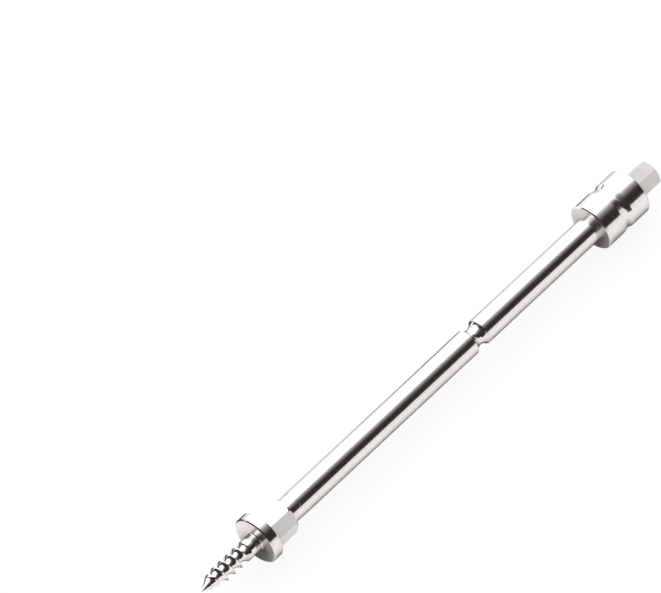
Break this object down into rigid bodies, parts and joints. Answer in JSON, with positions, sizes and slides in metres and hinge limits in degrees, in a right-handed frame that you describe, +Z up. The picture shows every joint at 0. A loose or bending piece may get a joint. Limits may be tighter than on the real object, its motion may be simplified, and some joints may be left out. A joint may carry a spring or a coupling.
{
  "type": "bone pin",
  "caption": "Self-cutting steel bone pin with a coarse threaded tip, stop flange, octagonal wrench section, notched shaft and a grooved drive coupling.",
  "frame": {"origin": "on the pin axis, in the middle of the rear coupling cylinder", "axes": "+X along the pin axis from the cutting tip to the drive end, +Z up when the pin lies on its flange and coupling, +Y completes the right-handed set"},
  "size_m": [0.1167, 0.0094, 0.0094],
  "materials": {
    "pin_steel": "bright polished turned stainless steel, satin on the milled flats"
  },
  "bodies": {
    "root": {"bone_pin": "pin_steel"}
  },
  "joints": []
}
